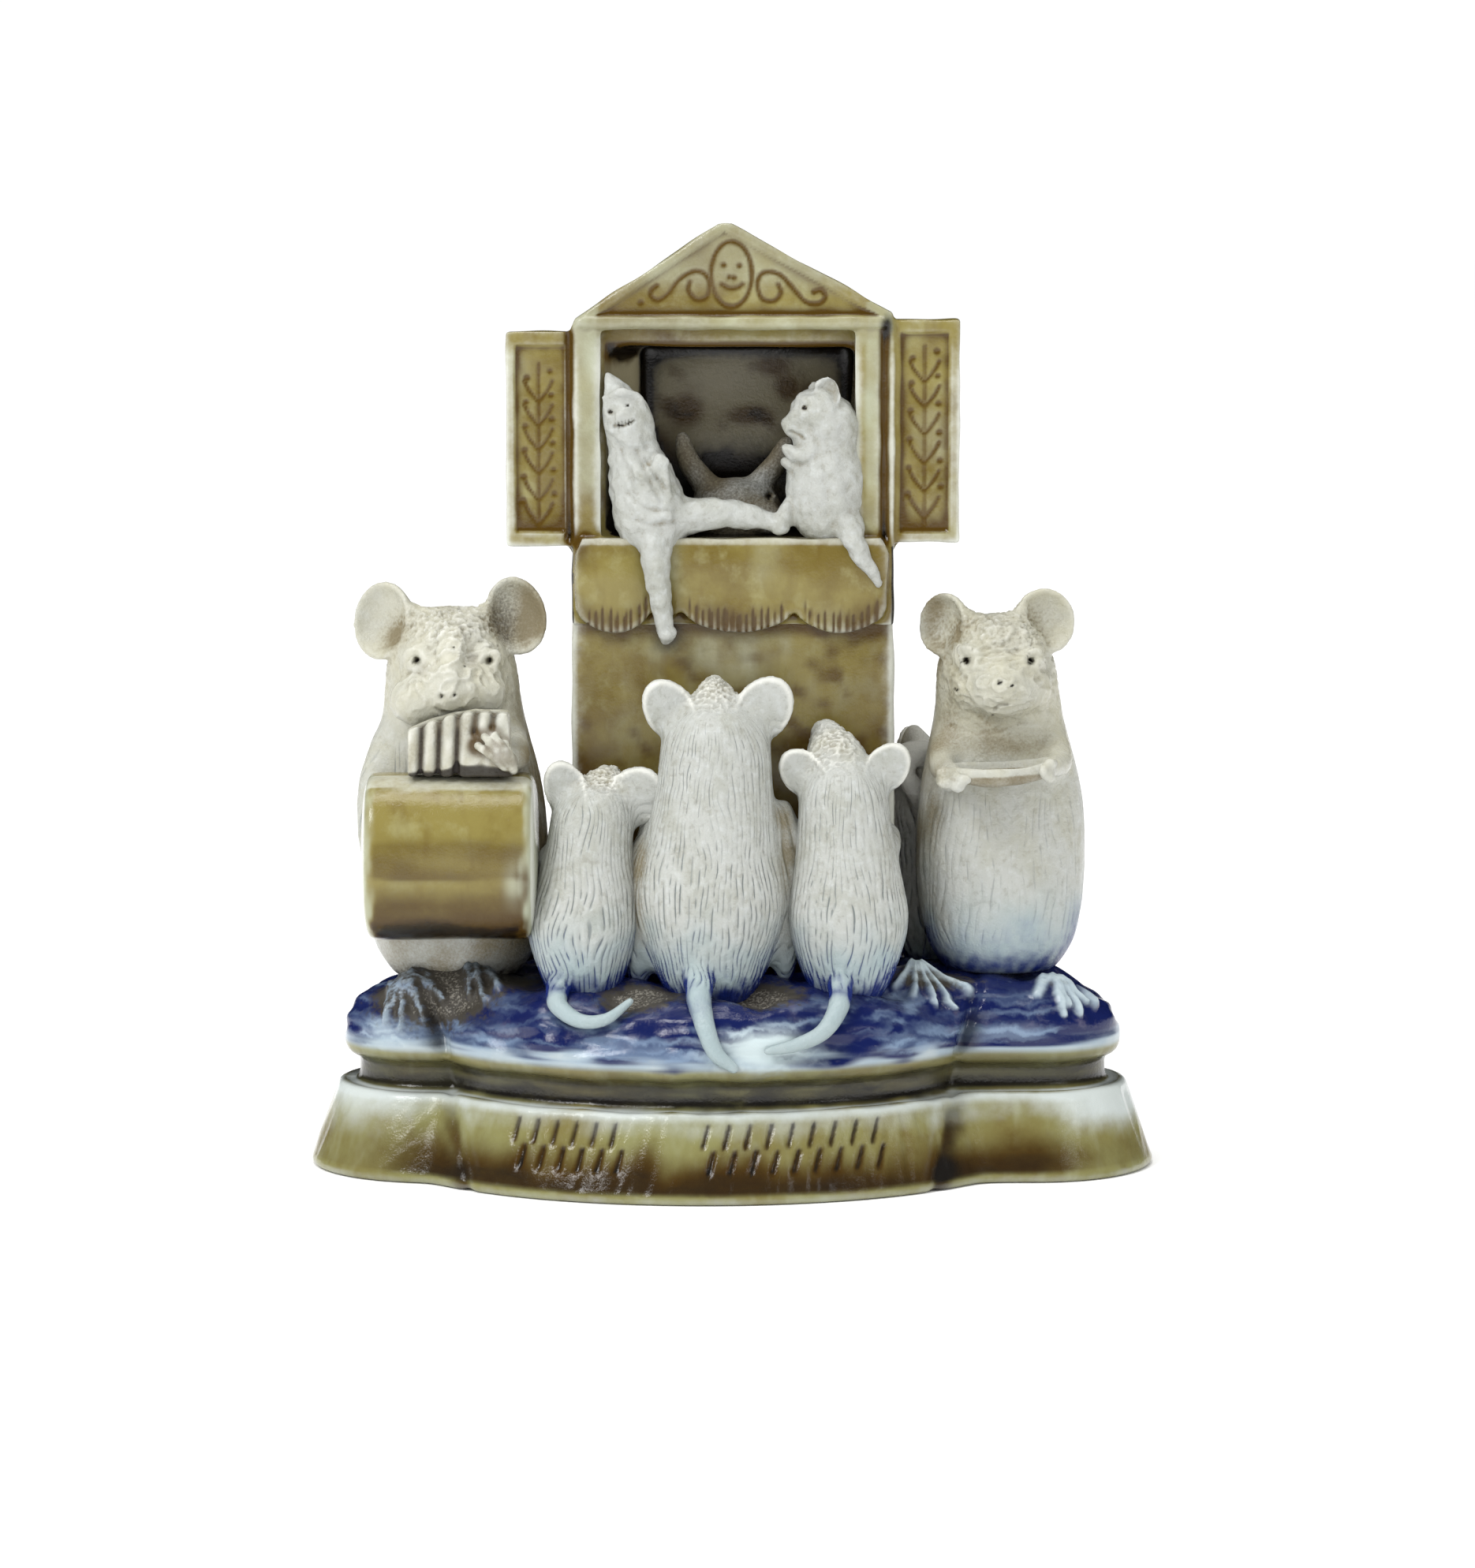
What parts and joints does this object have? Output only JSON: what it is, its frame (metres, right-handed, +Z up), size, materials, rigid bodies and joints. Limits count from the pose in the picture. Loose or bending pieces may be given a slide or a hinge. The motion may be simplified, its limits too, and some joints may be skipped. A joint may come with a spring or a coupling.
{
  "type": "stoneware mouse figure group",
  "caption": "Salt-glazed stoneware ornament: seated mice, one with pan pipes and drum and one with a dish, gather round a gabled puppet booth on a lobed plinth.",
  "frame": {"origin": "middle of the plinth's flat underside", "axes": "+Z up, -Y towards the front that the booth's stage faces, +X to the right as seen from the front"},
  "size_m": [0.1216, 0.068, 0.135],
  "materials": {
    "glazed_stoneware": null
  },
  "bodies": {
    "root": {"mouse_group": "glazed_stoneware"}
  },
  "joints": []
}
